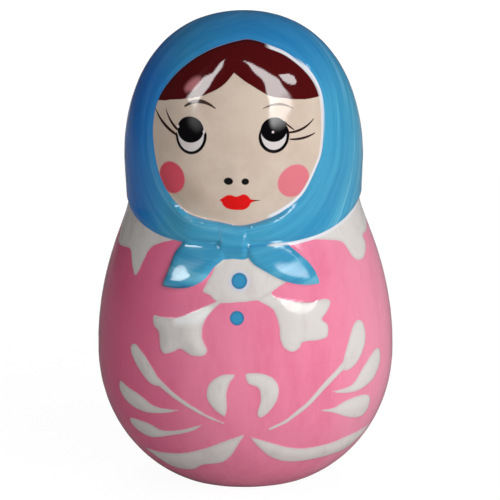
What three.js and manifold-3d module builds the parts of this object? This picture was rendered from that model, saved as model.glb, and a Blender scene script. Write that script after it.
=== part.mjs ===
// A nest of five turned and painted wooden dolls, in millimetres, +Z up.
// The origin is the middle of the flat foot that the outer doll stands on, and the faces look along -Y.
// Every doll but the innermost opens at its waist, where a spigot on the base fits a socket in the top.
// Each smaller doll stands on the floor inside the next larger one.

import * as THREE from "three";
import { mergeVertices } from "three/addons/utils/BufferGeometryUtils.js";
import Module from "manifold-3d";

// The outer doll's turned wood
const HEIGHT = 140;
const FOOT_RADIUS = 21.1;
const BELLY_RADIUS = 44.5;
const BELLY_HEIGHT = 38.5;
const NECK_RADIUS = 34.3;
const NECK_HEIGHT = 85;
const HEAD_RADIUS = 34.8;
const HEAD_HEIGHT = 97;
const SEAM_HEIGHT = 42.5;

// How far each curve of the outline holds its direction, as a share of that curve's own stretch
const FOOT_FLARE = 0.54;
const FOOT_LIFT = 0.142;
const HIP_FULLNESS = 0.49;
const SHOULDER_FULLNESS = 0.56;
const NECK_FULLNESS = 0.123;
const CHEEK_FULLNESS = 0.104;
const TEMPLE_FULLNESS = 0.471;
const CROWN_FULLNESS = 0.733;

// The headscarf in relief: its hem is measured down from the neck, the face opening from hem and crown
const SCARF_THICKNESS = 0.8;
const HEM_DROP_FRONT = 9;
const HEM_DROP_SIDE = 2;
const HEM_DROP_BACK = 27;
const CHIN_BAND = 6.8;
const FOREHEAD_BAND = 6;
const FACE_WIDTH = 49.8;

// The scarf's knot and its two tails, on the hem under the chin
const KNOT_THICKNESS = 2.2;
const KNOT_WIDTH = 12.5;
const KNOT_RISE = 2;
const KNOT_DROP = 2.5;
const TAIL_REACH = 22.5;
const TAIL_DROP = 10.7;

// What fits and what stands loose
const FIT_GAP = 0.3;
const SIDE_GAP = 1.2;
const HEAD_GAP = 2;
const RIM_CHAMFER = 0.6;

// The wood that the outer doll keeps around the next one
const OUTER_FLOOR = 8;
const OUTER_CROWN_WALL = 19;
const OUTER_HEAD_WALL = 5.4;
const OUTER_SPIGOT_HEIGHT = 8.5;
const OUTER_SPIGOT_WALL = 4;
const OUTER_SOCKET_WALL = 3.2;

// The wood that the second doll keeps around the next one
const SECOND_FLOOR = 7;
const SECOND_CROWN_WALL = 14;
const SECOND_HEAD_WALL = 4.2;
const SECOND_SPIGOT_HEIGHT = 7.5;
const SECOND_SPIGOT_WALL = 3.4;
const SECOND_SOCKET_WALL = 2.8;

// The wood that the third doll keeps around the next one
const THIRD_FLOOR = 6;
const THIRD_CROWN_WALL = 12;
const THIRD_HEAD_WALL = 3.6;
const THIRD_SPIGOT_HEIGHT = 6.5;
const THIRD_SPIGOT_WALL = 2.8;
const THIRD_SOCKET_WALL = 2.4;

// The wood that the fourth doll keeps around the next one
const FOURTH_FLOOR = 5;
const FOURTH_CROWN_WALL = 10;
const FOURTH_HEAD_WALL = 2.8;
const FOURTH_SPIGOT_HEIGHT = 5.5;
const FOURTH_SPIGOT_WALL = 2.2;
const FOURTH_SOCKET_WALL = 2;

// The four hollow dolls from the outside in
const SHELLS = [
  {
    name: "outer",
    floor: OUTER_FLOOR,
    crownWall: OUTER_CROWN_WALL,
    headWall: OUTER_HEAD_WALL,
    spigotHeight: OUTER_SPIGOT_HEIGHT,
    spigotWall: OUTER_SPIGOT_WALL,
    socketWall: OUTER_SOCKET_WALL,
    facets: 40,
    curveSteps: 6,
  },
  {
    name: "second",
    floor: SECOND_FLOOR,
    crownWall: SECOND_CROWN_WALL,
    headWall: SECOND_HEAD_WALL,
    spigotHeight: SECOND_SPIGOT_HEIGHT,
    spigotWall: SECOND_SPIGOT_WALL,
    socketWall: SECOND_SOCKET_WALL,
    facets: 32,
    curveSteps: 4,
  },
  {
    name: "third",
    floor: THIRD_FLOOR,
    crownWall: THIRD_CROWN_WALL,
    headWall: THIRD_HEAD_WALL,
    spigotHeight: THIRD_SPIGOT_HEIGHT,
    spigotWall: THIRD_SPIGOT_WALL,
    socketWall: THIRD_SOCKET_WALL,
    facets: 28,
    curveSteps: 3,
  },
  {
    name: "fourth",
    floor: FOURTH_FLOOR,
    crownWall: FOURTH_CROWN_WALL,
    headWall: FOURTH_HEAD_WALL,
    spigotHeight: FOURTH_SPIGOT_HEIGHT,
    spigotWall: FOURTH_SPIGOT_WALL,
    socketWall: FOURTH_SOCKET_WALL,
    facets: 24,
    curveSteps: 3,
  },
];
const INNERMOST = { name: "innermost", facets: 20, curveSteps: 3 };

const scarfPaint = new THREE.MeshStandardMaterial({ color: 0x3f8fc4, roughness: 0.25, metalness: 0 });
const dressPaint = new THREE.MeshStandardMaterial({ color: 0xd97a98, roughness: 0.25, metalness: 0 });

const wasm = await Module();
wasm.setup();

// Solids from geometries, and back

function solid(geometry) {
  const bare = geometry.clone();
  bare.deleteAttribute("normal");
  bare.deleteAttribute("uv");
  const merged = mergeVertices(bare, 1e-4);
  return new wasm.Manifold(
    new wasm.Mesh({
      numProp: 3,
      vertProperties: merged.attributes.position.array,
      triVerts: new Uint32Array(merged.index.array),
    }),
  );
}

function geometryOf(manifold) {
  const mesh = manifold.getMesh();
  const geometry = new THREE.BufferGeometry();
  geometry.setAttribute("position", new THREE.BufferAttribute(mesh.vertProperties, 3));
  geometry.setIndex(new THREE.BufferAttribute(mesh.triVerts, 1));
  const flat = geometry.toNonIndexed();
  flat.computeVertexNormals();
  return flat;
}

// An outline of radius and height, turned about Z with its seam at the front
function turned(outline, facets) {
  const points = outline.map(([radius, height]) => new THREE.Vector2(radius, height));
  return solid(new THREE.LatheGeometry(points, facets).rotateX(Math.PI / 2));
}

// The doll's form

// The wood's outline from the foot to the crown
function woodOutline(form, steps) {
  const rise = form.neckHeight - form.bellyHeight;
  const cheek = form.headHeight - form.neckHeight;
  const dome = form.crownHeight - form.headHeight;
  const stretches = [
    [
      [form.footRadius, 0],
      [
        form.footRadius + FOOT_FLARE * (form.bellyRadius - form.footRadius),
        FOOT_LIFT * form.bellyHeight,
      ],
      [form.bellyRadius, form.bellyHeight * (1 - HIP_FULLNESS)],
      [form.bellyRadius, form.bellyHeight],
      steps,
    ],
    [
      [form.bellyRadius, form.bellyHeight],
      [form.bellyRadius, form.bellyHeight + SHOULDER_FULLNESS * rise],
      [form.neckRadius, form.neckHeight - NECK_FULLNESS * rise],
      [form.neckRadius, form.neckHeight],
      steps,
    ],
    [
      [form.neckRadius, form.neckHeight],
      [form.neckRadius, form.neckHeight + CHEEK_FULLNESS * cheek],
      [form.headRadius, form.headHeight - CHEEK_FULLNESS * cheek],
      [form.headRadius, form.headHeight],
      2,
    ],
    [
      [form.headRadius, form.headHeight],
      [form.headRadius, form.headHeight + TEMPLE_FULLNESS * dome],
      [CROWN_FULLNESS * form.headRadius, form.crownHeight],
      [0, form.crownHeight],
      steps + 1,
    ],
  ];
  const outline = [[form.footRadius, 0]];
  for (const [start, leave, arrive, end, count] of stretches) {
    const curve = new THREE.CubicBezierCurve(
      new THREE.Vector2(...start),
      new THREE.Vector2(...leave),
      new THREE.Vector2(...arrive),
      new THREE.Vector2(...end),
    );
    for (const point of curve.getPoints(count).slice(1)) outline.push([point.x, point.y]);
  }
  outline[outline.length - 1][0] = 0;
  return outline;
}

// The outline's radius at a height, on its straight facets
function radiusAt(outline, height) {
  const above = outline.findIndex((point) => point[1] >= height);
  const [upperRadius, upperHeight] = outline[above];
  const [lowerRadius, lowerHeight] = outline[above - 1];
  const share = (height - lowerHeight) / (upperHeight - lowerHeight);
  return lowerRadius + share * (upperRadius - lowerRadius);
}

// The outline moved square to itself by a thickness, as the scarf lies on the wood
function offsetOutline(outline, thickness) {
  return outline.map(([radius, height], i) => {
    const [lowRadius, lowHeight] = outline[Math.max(i - 1, 0)];
    const [highRadius, highHeight] = outline[Math.min(i + 1, outline.length - 1)];
    const run = Math.hypot(highRadius - lowRadius, highHeight - lowHeight);
    if (radius === 0) return [0, height + thickness];
    return [
      radius + (thickness * (highHeight - lowHeight)) / run,
      height + (thickness * (lowRadius - highRadius)) / run,
    ];
  });
}

// The relief: headscarf, knot and tails

// The hem's height at an angle from the front: up to the sides, and down to a point at the back
function hemHeight(form, angle) {
  const turn = Math.abs(angle);
  if (turn <= Math.PI / 2)
    return form.hemFront + (form.hemSide - form.hemFront) * Math.sin(turn) ** 2;
  const back = turn / (Math.PI / 2) - 1;
  return form.hemSide + (form.hemBack - form.hemSide) * back ** 1.3;
}

// Everything above the hem, as a solid whose underside is level along each radius near the wood
function aboveHem(form, facets) {
  const core = form.neckRadius * 0.8;
  const edge = form.bellyRadius * 1.2;
  const top = form.crownHeight * 2;
  const positions = [0, 0, form.hemFront, 0, 0, top];
  const index = [];
  const [axisLow, axisHigh, ringStart] = [0, 1, 2];
  for (let i = 0; i < facets; i++) {
    const angle = (2 * Math.PI * i) / facets - Math.PI;
    const hem = hemHeight(form, angle);
    const across = Math.sin(angle);
    const along = -Math.cos(angle);
    positions.push(core * across, core * along, hem);
    positions.push(edge * across, edge * along, hem);
    positions.push(edge * across, edge * along, top);
    const here = ringStart + i * 3;
    const next = ringStart + ((i + 1) % facets) * 3;
    index.push(axisLow, next, here);
    for (const step of [0, 1]) {
      index.push(here + step, next + step, here + step + 1);
      index.push(here + step + 1, next + step, next + step + 1);
    }
    index.push(here + 2, next + 2, axisHigh);
  }
  const space = new THREE.BufferGeometry();
  space.setAttribute("position", new THREE.Float32BufferAttribute(positions, 3));
  space.setIndex(index);
  return solid(space);
}

// An outline seen from the front, run through the front half of the doll
function frontPrism(shape, form, curveSegments) {
  const depth = form.bellyRadius * 2;
  const prism = new THREE.ExtrudeGeometry(shape, { depth, bevelEnabled: false, curveSegments });
  return solid(prism.rotateX(Math.PI / 2));
}

function faceShape(form) {
  const bottom = form.hemFront + form.chinBand;
  const top = form.height - form.foreheadBand;
  const face = new THREE.Shape();
  face.absellipse(0, (bottom + top) / 2, form.faceWidth / 2, (top - bottom) / 2, 0, 2 * Math.PI);
  return face;
}

// The knot with its tails, as one outline that mirrors itself left and right
function knotShape(form) {
  const half = form.knotWidth / 2;
  const top = form.hemFront + form.knotRise;
  const bottom = form.hemFront - form.knotDrop;
  const tip = form.hemFront - form.tailDrop;
  const reach = form.tailReach;
  const lower = tip + (bottom - tip) * 0.06;
  const knot = new THREE.Shape();
  knot.moveTo(-half, top);
  knot.lineTo(half, top);
  knot.quadraticCurveTo(reach * 0.78, top + form.knotDrop * 0.1, reach, tip);
  knot.quadraticCurveTo(reach * 0.49, lower, half * 0.55, bottom);
  knot.lineTo(-half * 0.55, bottom);
  knot.quadraticCurveTo(-reach * 0.49, lower, -reach, tip);
  knot.quadraticCurveTo(-reach * 0.78, top + form.knotDrop * 0.1, -half, top);
  return knot;
}

// The scarf as a layer over the wood, open round the face, with the knot and tails on top
function scarf(form, outline, facets) {
  const overWood = turned(closedDown(offsetOutline(outline, form.scarfThickness)), facets);
  const face = frontPrism(faceShape(form), form, facets / 4);
  const cloth = overWood.intersect(aboveHem(form, facets)).subtract(face);
  const overKnot = turned(closedDown(offsetOutline(outline, form.knotThickness)), facets);
  const knot = overKnot.intersect(frontPrism(knotShape(form), form, 5));
  return cloth.add(knot);
}

// An outline from foot to crown closed by a flat underside
function closedDown(outline) {
  return [[0, outline[0][1]], ...outline];
}

// The dolls' sizes

const outerForm = {
  height: HEIGHT,
  crownHeight: HEIGHT - SCARF_THICKNESS,
  footRadius: FOOT_RADIUS,
  bellyRadius: BELLY_RADIUS,
  bellyHeight: BELLY_HEIGHT,
  neckRadius: NECK_RADIUS,
  neckHeight: NECK_HEIGHT,
  headRadius: HEAD_RADIUS,
  headHeight: HEAD_HEIGHT,
  seamHeight: SEAM_HEIGHT,
  scarfThickness: SCARF_THICKNESS,
  hemFront: NECK_HEIGHT - HEM_DROP_FRONT,
  hemSide: NECK_HEIGHT - HEM_DROP_SIDE,
  hemBack: NECK_HEIGHT - HEM_DROP_BACK,
  chinBand: CHIN_BAND,
  foreheadBand: FOREHEAD_BAND,
  faceWidth: FACE_WIDTH,
  knotThickness: KNOT_THICKNESS,
  knotWidth: KNOT_WIDTH,
  knotRise: KNOT_RISE,
  knotDrop: KNOT_DROP,
  tailReach: TAIL_REACH,
  tailDrop: TAIL_DROP,
};

// The doll that fits in a shell: its radii come from the shell's bores, its heights from the shell's
// room between floor and crown, and its scarf keeps the outer one's proportions
function innerForm(form, shell) {
  const spigotRadius = seamRadius(form, shell) - shell.socketWall - FIT_GAP;
  const height = form.height - shell.floor - shell.crownWall - HEAD_GAP;
  const share = height / form.height;
  const scarfThickness = form.scarfThickness * share;
  const headRadius = form.headRadius - shell.headWall - SIDE_GAP - scarfThickness;
  const widthShare = headRadius / form.headRadius;
  return {
    height,
    crownHeight: height - scarfThickness,
    footRadius: form.footRadius * widthShare,
    bellyRadius: spigotRadius - shell.spigotWall - SIDE_GAP,
    bellyHeight: form.bellyHeight * share,
    neckRadius: form.neckRadius * widthShare,
    neckHeight: form.neckHeight * share,
    headRadius,
    headHeight: form.headHeight * share,
    seamHeight: form.seamHeight * share,
    scarfThickness,
    hemFront: form.hemFront * share,
    hemSide: form.hemSide * share,
    hemBack: form.hemBack * share,
    chinBand: form.chinBand * share,
    foreheadBand: form.foreheadBand * share,
    faceWidth: form.faceWidth * widthShare,
    knotThickness: form.knotThickness * share,
    knotWidth: form.knotWidth * widthShare,
    knotRise: form.knotRise * share,
    knotDrop: form.knotDrop * share,
    tailReach: form.tailReach * widthShare,
    tailDrop: form.tailDrop * share,
  };
}

function seamRadius(form, shell) {
  return radiusAt(woodOutline(form, shell.curveSteps), form.seamHeight);
}

// The two halves of a hollow doll

// The lower half: the cup that the next doll stands in, with the spigot round its mouth
function baseSolid(form, shell, inner) {
  const outline = woodOutline(form, shell.curveSteps);
  const seam = form.seamHeight;
  const spigotRadius = seamRadius(form, shell) - shell.socketWall - FIT_GAP;
  const rim = seam + shell.spigotHeight;
  const bore = inner.bellyRadius + SIDE_GAP;
  const room = woodOutline(inner, shell.curveSteps)
    .map(([radius, height]) => [radius + SIDE_GAP, height + shell.floor])
    .filter(([, height]) => height < Math.min(inner.bellyHeight + shell.floor, rim - RIM_CHAMFER));
  return turned(
    [
      [0, 0],
      ...outline.filter(([, height]) => height < seam),
      [seamRadius(form, shell), seam],
      [spigotRadius, seam],
      [spigotRadius, rim - RIM_CHAMFER],
      [spigotRadius - RIM_CHAMFER, rim],
      [bore + RIM_CHAMFER, rim],
      [bore, rim - RIM_CHAMFER],
      [bore, Math.min(inner.bellyHeight + shell.floor, rim - 2 * RIM_CHAMFER)],
      ...room.reverse(),
      [0, shell.floor],
    ],
    shell.facets,
  );
}

// The next doll's largest radius at a height, with its scarf and knot
function reachAt(inner, outline, height) {
  const knotTop = inner.hemFront + inner.knotRise;
  const relief = height <= knotTop ? inner.knotThickness : inner.scarfThickness;
  return radiusAt(outline, Math.min(height, inner.crownHeight)) + relief;
}

// The upper half: the socket over the spigot, and a bore that narrows upwards so that it lifts off
function topSolid(form, shell, inner) {
  const outline = woodOutline(form, shell.curveSteps);
  const seam = form.seamHeight;
  const ledge = seam + shell.spigotHeight + FIT_GAP;
  const socket = seamRadius(form, shell) - shell.socketWall;
  const innerOutline = woodOutline(inner, shell.curveSteps);
  const knotTop = inner.hemFront + inner.knotRise;
  const heights = [knotTop - FIT_GAP, knotTop + FIT_GAP, ...innerOutline.map((point) => point[1])]
    .filter((height) => height < inner.crownHeight && height + shell.floor + HEAD_GAP > ledge)
    .sort((a, b) => b - a);
  let widest = 0;
  const room = [];
  for (const height of heights) {
    const reach = reachAt(inner, innerOutline, height);
    if (reach <= widest) continue;
    widest = reach;
    room.push([reach + SIDE_GAP, height + shell.floor + HEAD_GAP]);
  }
  const ceiling = inner.height + shell.floor + HEAD_GAP;
  const wood = turned(
    [[0, seam], [seamRadius(form, shell), seam], ...outline.filter(([, height]) => height > seam)],
    shell.facets,
  );
  const mouth = seam - shell.spigotHeight;
  const hollow = turned(
    [[0, mouth], [socket, mouth], [socket, ledge], [widest + SIDE_GAP, ledge], ...room.reverse(), [0, ceiling]],
    shell.facets,
  );
  return wood.add(scarf(form, outline, shell.facets)).subtract(hollow);
}

// The innermost doll is turned from one piece
function wholeSolid(form, piece) {
  const outline = woodOutline(form, piece.curveSteps);
  return turned(closedDown(outline), piece.facets).add(scarf(form, outline, piece.facets));
}

// The nest

function piece(name, manifold, paint) {
  const mesh = new THREE.Mesh(geometryOf(manifold), paint);
  mesh.name = name;
  return mesh;
}

const nest = new THREE.Group();
let form = outerForm;
let standing = 0;
for (const shell of SHELLS) {
  const inner = innerForm(form, shell);
  const doll = new THREE.Group();
  doll.position.z = standing;
  doll.add(piece(shell.name + "_base", baseSolid(form, shell, inner), dressPaint));
  doll.add(piece(shell.name + "_top", topSolid(form, shell, inner), scarfPaint));
  nest.add(doll);
  standing += shell.floor;
  form = inner;
}
const smallest = piece(INNERMOST.name + "_doll", wholeSolid(form, INNERMOST), scarfPaint);
smallest.position.z = standing;
nest.add(smallest);

export default nest;
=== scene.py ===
# A nest of five turned and painted wooden dolls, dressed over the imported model.
# The drawing is given in millimetres on the outer doll: across, measured round the wood from the
# front line, and up from the foot. The smaller dolls wear the same drawing, scaled to their height.
import math
from types import SimpleNamespace
import bpy
import numpy as np
from mathutils import Matrix, Vector


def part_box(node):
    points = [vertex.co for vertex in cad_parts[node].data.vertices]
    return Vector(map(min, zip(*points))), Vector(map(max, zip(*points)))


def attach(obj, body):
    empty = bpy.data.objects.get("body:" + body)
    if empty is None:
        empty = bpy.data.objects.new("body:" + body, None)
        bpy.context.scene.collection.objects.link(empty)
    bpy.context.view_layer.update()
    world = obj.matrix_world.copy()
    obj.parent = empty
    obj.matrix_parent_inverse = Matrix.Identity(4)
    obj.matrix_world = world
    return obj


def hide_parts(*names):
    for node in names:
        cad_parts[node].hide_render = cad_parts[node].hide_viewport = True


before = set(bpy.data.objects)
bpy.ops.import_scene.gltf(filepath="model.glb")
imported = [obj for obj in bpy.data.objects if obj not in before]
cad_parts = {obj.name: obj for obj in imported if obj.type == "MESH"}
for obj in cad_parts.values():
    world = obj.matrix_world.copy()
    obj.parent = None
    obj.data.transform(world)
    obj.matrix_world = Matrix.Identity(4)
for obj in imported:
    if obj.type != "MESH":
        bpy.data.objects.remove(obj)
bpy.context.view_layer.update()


# The outer doll's lower half
# A cup of lime wood, turned in one setting with the belly outside and the spigot round its mouth.
# Pink gouache with white leaves outside, under gloss lacquer; bare turned wood inside.

MM = 0.001

# The turned form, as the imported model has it
BELLY_HEIGHT = 38.5
NECK_HEIGHT = 85
HEAD_HEIGHT = 97
FOOT_RADIUS = 21.1
NECK_RADIUS = 34.3
HEAD_RADIUS = 34.8
SCARF_THICKNESS = 0.8
FOOT_FLARE = 0.54
FOOT_LIFT = 0.142
HIP_FULLNESS = 0.49
SHOULDER_FULLNESS = 0.56
NECK_FULLNESS = 0.123
CHEEK_FULLNESS = 0.104
TEMPLE_FULLNESS = 0.471
CROWN_FULLNESS = 0.733

# The walls between one doll and the next, from the outer doll inwards
NAMES = ["outer", "second", "third", "fourth", "innermost"]
HEAD_WALL = [5.4, 4.2, 3.6, 2.8]
SOCKET_WALL = [3.2, 2.8, 2.4, 2.0]
FLOOR = [8, 7, 6, 5]
SIDE_GAP = 1.2
HEAD_GAP = 2
FIT_GAP = 0.3
RIM_CHAMFER = 0.6
SEAM_CHAMFER = 0.05
# How far inside the foot's edge the bare wood ends and the paint begins
FOOT_BARE = 0.6
FOOT_PAINTED = 0.15

# How finely each doll's shell is turned: the step along its outline and the steps round it.
# Edges that bend more than SHARP_ANGLE stay sharp, and paint covers the faces above PAINT_FROM.
OUTLINE_STEP = [0.5, 0.46, 0.42, 0.38, 0.34]
STEPS_ROUND = [326, 290, 240, 200, 180]
FRONT_SHARE = 0.55
ROOM_STEP = 1.2
SHARP_ANGLE = math.radians(32)
SAME_PLACE = 1e-6
PAINT_FROM = 0.75


def doll_form(rank, larger):
    """A doll's sizes in millimetres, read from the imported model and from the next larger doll."""
    name = NAMES[rank]
    hollow = rank < len(NAMES) - 1
    low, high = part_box(f"{name}_base" if hollow else "innermost_doll")
    top_low, top_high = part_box(f"{name}_top") if hollow else (low, high)
    standing = low.z / MM
    height = top_high.z / MM - standing
    share = height / larger.outer_height if larger else 1
    scarf = SCARF_THICKNESS * share
    head = larger.head - HEAD_WALL[rank - 1] - SIDE_GAP - scarf if larger else HEAD_RADIUS
    wide = head / HEAD_RADIUS
    return SimpleNamespace(
        name=name,
        rank=rank,
        standing=standing,
        height=height,
        outer_height=larger.outer_height if larger else height,
        share=share,
        crown=height - scarf,
        foot=FOOT_RADIUS * wide,
        belly=high.x / MM,
        neck=NECK_RADIUS * wide,
        head=head,
        seam=top_low.z / MM - standing,
        rim=high.z / MM - standing,
    )


dolls = []
for rank in range(len(NAMES)):
    dolls.append(doll_form(rank, dolls[-1] if dolls else None))


def curve(start, leave, arrive, end, count=120):
    """Points along a cubic curve, without its last one."""
    t = np.linspace(0, 1, count, endpoint=False)[:, None]
    start, leave, arrive, end = (np.array(p, float) for p in (start, leave, arrive, end))
    s = 1 - t
    return s**3 * start + 3 * s * s * t * leave + 3 * s * t * t * arrive + t**3 * end


def wood_outline(doll, step):
    """Radius and height of the turned wood from foot to crown, at even steps."""
    share = doll.share
    foot, belly, neck, head = doll.foot, doll.belly, doll.neck, doll.head
    belly_z, neck_z, head_z = (h * share for h in (BELLY_HEIGHT, NECK_HEIGHT, HEAD_HEIGHT))
    crown = doll.crown
    rise, cheek, dome = neck_z - belly_z, head_z - neck_z, crown - head_z
    fine = np.vstack([
        curve((foot, 0), (foot + FOOT_FLARE * (belly - foot), FOOT_LIFT * belly_z),
              (belly, belly_z * (1 - HIP_FULLNESS)), (belly, belly_z)),
        curve((belly, belly_z), (belly, belly_z + SHOULDER_FULLNESS * rise),
              (neck, neck_z - NECK_FULLNESS * rise), (neck, neck_z)),
        curve((neck, neck_z), (neck, neck_z + CHEEK_FULLNESS * cheek),
              (head, head_z - CHEEK_FULLNESS * cheek), (head, head_z)),
        curve((head, head_z), (head, head_z + TEMPLE_FULLNESS * dome),
              (CROWN_FULLNESS * head, crown), (0, crown)),
        [(0, crown)],
    ])
    run = np.concatenate([[0], np.cumsum(np.hypot(*np.diff(fine, axis=0).T))])
    stops = np.linspace(0, run[-1], int(run[-1] / step) + 1)
    return np.column_stack([np.interp(stops, run, fine[:, i]) for i in (0, 1)])


def radius_at(outline, height):
    return float(np.interp(height, outline[:, 1], outline[:, 0]))


def foot_edge(foot, bare, painted):
    """Where the bare wood under a foot ends and the paint begins."""
    return [(foot - bare, 0, 0), (foot - painted, 0, 1)]


def cup_section(doll, inner):
    """The lower half's section from the middle of the foot, round the outside, to the middle of the floor.

    Each row is a radius, a height and whether the point is painted."""
    rank = doll.rank
    outline = wood_outline(doll, OUTLINE_STEP[rank])
    seam, rim = doll.seam, doll.rim
    at_seam = radius_at(outline, seam)
    spigot = at_seam - SOCKET_WALL[rank] - FIT_GAP
    bore = inner.belly + SIDE_GAP
    floor = FLOOR[rank]
    room = wood_outline(inner, ROOM_STEP)
    room = room[room[:, 1] < BELLY_HEIGHT * inner.share] + (SIDE_GAP, floor)
    rows = [(0, 0, 0), (doll.foot * 0.5, 0, 0)] + foot_edge(doll.foot, FOOT_BARE, FOOT_PAINTED)
    rows += [(r, z, 1) for r, z in outline[1:] if z < seam - SEAM_CHAMFER]
    rows += [
        (at_seam, seam - SEAM_CHAMFER, 1),
        (at_seam - SEAM_CHAMFER, seam, 1),
        (spigot, seam, 0),
        (spigot, (seam + rim) / 2, 0),
        (spigot, rim - RIM_CHAMFER, 0),
        (spigot - RIM_CHAMFER, rim, 0),
        (bore + RIM_CHAMFER, rim, 0),
        (bore, rim - RIM_CHAMFER, 0),
    ]
    rows += [(r, z, 0) for r, z in room[::-1]]
    rows += [(inner.foot * 0.5, floor, 0), (0, floor, 0)]
    return rows


# The lathe: a section of radius and height, turned about Z with its steps finest at the front

def socket(tree, name, kind, default=None, output=False):
    made = tree.interface.new_socket(name, in_out="OUTPUT" if output else "INPUT", socket_type=kind)
    if default is not None:
        made.default_value = default
    return made.identifier


def put(value, place):
    """Feeds a socket or a plain value into a node's input."""
    if isinstance(value, bpy.types.NodeSocket):
        place.id_data.links.new(value, place)
    elif value is not None:
        place.default_value = value


def add(kind, *values, tree=None, **settings):
    """A node with its settings and its inputs in order, each a socket or a plain value.

    It stands in the tree that its first socket belongs to, or in the one given."""
    tree = tree or next(v.id_data for v in values if isinstance(v, bpy.types.NodeSocket))
    new = tree.nodes.new(kind)
    for key, value in settings.items():
        setattr(new, key, value)
    for place, value in zip(new.inputs, values):
        put(value, place)
    return new


def maths(operation, *values, clamp=False):
    return add("ShaderNodeMath", *values, operation=operation, use_clamp=clamp).outputs[0]


def times(product, *values):
    for value in values:
        product = maths("MULTIPLY", product, value)
    return product


def minus(first, second):
    return maths("SUBTRACT", first, second)


def over(first, second):
    return maths("DIVIDE", first, second)


def scaled(value, scale, start):
    """The value times a scale, from a start on."""
    return maths("MULTIPLY_ADD", value, scale, start)


def axes(vector):
    """A vector's X, Y and Z."""
    return add("ShaderNodeSeparateXYZ", vector).outputs


def vector_of(*parts):
    return add("ShaderNodeCombineXYZ", *parts).outputs[0]


def shaped(kind, *values, **settings):
    """The first output of a new geometry node."""
    return add(f"GeometryNode{kind}", *values, **settings).outputs[0]


lathe = bpy.data.node_groups.new("turning on the lathe", "GeometryNodeTree")
LATHE_INPUTS = {
    title: socket(lathe, title, f"NodeSocket{kind}", default)
    for title, kind, default in (
        ("Section", "Geometry", None), ("Steps Round", "Int", 200), ("Front Share", "Float", FRONT_SHARE),
        ("Sharp Angle", "Float", SHARP_ANGLE), ("Paint", "Material", None), ("Wood", "Material", None))
}
socket(lathe, "Shell", "NodeSocketGeometry", output=True)
given = list(lathe.nodes.new("NodeGroupInput").outputs)
section, steps_round, front_share, sharp_angle, paint, wood = given[:len(LATHE_INPUTS)]
rows = shaped("AttributeDomainSize", section)
columns = maths("ADD", steps_round, 1)
grid = shaped("MeshGrid", 1, 1, columns, rows)
index = shaped("InputIndex", tree=lathe)
column = maths("FLOOR", over(index, rows))
row = minus(index, times(column, rows))
turn = minus(over(times(column, 2.0), steps_round), 1.0)
near = times(turn, front_share)
far = times(maths("POWER", turn, 3.0), minus(1.0, front_share))
angle = times(maths("ADD", near, far), math.pi)
position = shaped("InputPosition", tree=lathe)
place = axes(shaped("SampleIndex", section, position, row, data_type="FLOAT_VECTOR"))
side = times(place["X"], maths("SINE", angle))
depth = times(place["X"], maths("COSINE", angle), -1)
spot = vector_of(side, depth, place["Z"])
flag = shaped("InputNamedAttribute", "painted", tree=lathe, data_type="FLOAT")
flag = shaped("SampleIndex", section, flag, row)
shell = shaped("StoreNamedAttribute", grid, True, "painted", flag)
shell = shaped("SetPosition", shell, True, spot)
shell = shaped("MergeByDistance", shell, True, SAME_PLACE)
shell = shaped("FlipFaces", shell)
bend = shaped("InputMeshEdgeAngle", tree=lathe)
blunt = maths("LESS_THAN", bend, sharp_angle)
shell = shaped("SetShadeSmooth", shell, True, blunt, domain="EDGE")
shell = shaped("RealizeInstances", shell)
covered = shaped("InputNamedAttribute", "painted", tree=lathe, data_type="FLOAT")
covered = maths("GREATER_THAN", covered, PAINT_FROM)
shell = shaped("SetMaterial", shell, True, wood)
shell = shaped("SetMaterial", shell, covered, paint)
add("NodeGroupOutput", shell)


def placed(name, data):
    """A new object of the scene, at its origin."""
    made = bpy.data.objects.new(name, data)
    bpy.context.scene.collection.objects.link(made)
    return made


def keep(piece, name, values):
    """Keeps one number for each vertex of a piece."""
    piece.data.attributes.new(name, "FLOAT", "POINT").data.foreach_set("value", values.astype(np.float32))


def turned(name, doll, section, paint):
    """The piece with this section, as a plain mesh in its place, painted outside and bare wood inside."""
    mesh = bpy.data.meshes.new(name)
    points = [(r * MM, 0, (z + doll.standing) * MM) for r, z, _ in section]
    mesh.from_pydata(points, [(i, i + 1) for i in range(len(points) - 1)], [])
    piece = placed(name, mesh)
    keep(piece, "painted", np.array(section)[:, 2])
    turning = piece.modifiers.new("turning", "NODES")
    turning.node_group = lathe
    for title, value in (("Steps Round", STEPS_ROUND[doll.rank]), ("Front Share", FRONT_SHARE),
                         ("Paint", paint), ("Wood", turned_wood)):
        turning[LATHE_INPUTS[title]] = value
    seen = piece.evaluated_get(bpy.context.evaluated_depsgraph_get())
    plain = bpy.data.meshes.new_from_object(seen)
    piece.modifiers.clear()
    piece.data = plain
    plain.name = name
    return piece


# The drawing's place on a doll: millimetres across and up on the outer doll

outer_outline = wood_outline(dolls[0], OUTLINE_STEP[0])
DRAPE_FROM = 68
DRAPE_TO = 82
FAR = 12.0
# How far round from the front the drawing reaches, and how finely the brush's outlines bend
FRONT_ANGLE = 1.9
BRUSH_STEPS = 6


def smooth(t):
    t = np.clip(t, 0, 1)
    return t * t * (3 - 2 * t)


def vertex_places(piece):
    flat = np.empty(len(piece.data.vertices) * 3)
    piece.data.vertices.foreach_get("co", flat)
    return flat.reshape(-1, 3)


def drawing_place(piece, doll):
    """Across, up and the angle from the front of every vertex, as the drawing has them."""
    x, y, z = vertex_places(piece).T / MM
    up = (z - doll.standing) / doll.share
    angle = np.arctan2(x, -y)
    cover = SCARF_THICKNESS * smooth((up - DRAPE_FROM) / (DRAPE_TO - DRAPE_FROM))
    radius = np.interp(up, outer_outline[:, 1], outer_outline[:, 0]) + cover
    return angle * radius, up, angle


def on_front(angle, values, elsewhere=-FAR):
    """The values as far round as the drawing reaches, and another value behind."""
    return np.where(np.abs(angle) < FRONT_ANGLE, values, elsewhere)


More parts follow.
